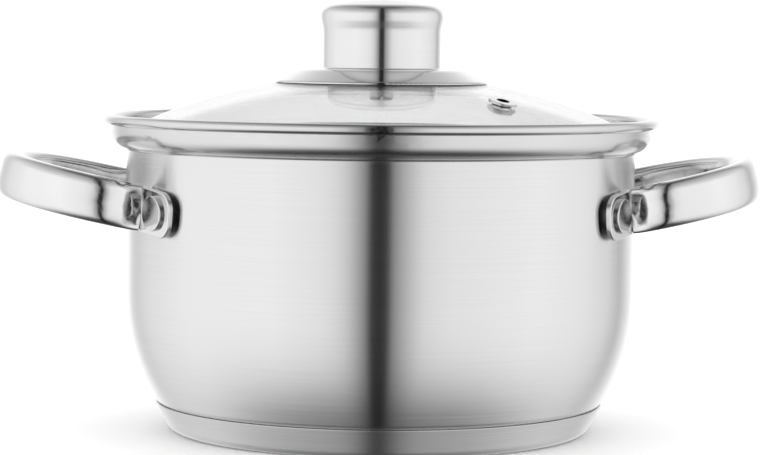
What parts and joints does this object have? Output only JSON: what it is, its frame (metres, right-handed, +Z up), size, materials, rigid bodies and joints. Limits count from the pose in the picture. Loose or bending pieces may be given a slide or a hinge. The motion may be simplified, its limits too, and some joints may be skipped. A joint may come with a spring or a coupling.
{
  "type": "casserole pot with glass lid",
  "caption": "Two-handled stainless steel casserole with a capsule base, a rolled pouring lip and a domed glass lid with steel knob and steam vent.",
  "frame": {"origin": "centre of the base, on the surface the pot stands on", "axes": "+Z up along the pot's axis, +X towards the right-hand handle, -Y towards the steam vent side"},
  "size_m": [0.302, 0.2194, 0.1702],
  "materials": {
    "brushed_body": "satin, brushed round the wall",
    "brushed_base": "satin, brushed round the base",
    "polished_handles": "mirror-polished stainless steel",
    "satin_knob": "fine satin, brushed round the knob",
    "polished_trim": "polished stainless steel pressings",
    "fasteners": "bright stainless steel",
    "core_aluminium": "as rolled",
    "clear_glass": "clear tempered glass",
    "silicone": "translucent silicone"
  },
  "bodies": {
    "pot": {"pot_body": "brushed_body", "base_core": "core_aluminium", "base_capsule": "brushed_base", "handle_left": "polished_handles", "handle_right": "polished_handles", "handle_bosses": "fasteners", "handle_rivets": "fasteners"},
    "lid": {"lid_glass": "clear_glass", "rim_seal": "silicone", "lid_rim": "polished_trim", "vent_eyelet": "polished_trim", "vent_washer": "polished_trim", "knob_plate": "polished_trim", "upper_gasket": "silicone", "lower_gasket": "silicone", "lower_washer": "polished_trim", "knob_cap": "satin_knob", "knob_floor": "polished_trim", "knob_nut": "fasteners", "knob_screw": "fasteners"}
  },
  "joints": [
    {"name": "lid_lift", "type": "slide", "parent": "pot", "child": "lid", "axis": [0, 0, 1], "range_m": [0, 0.12]}
  ]
}
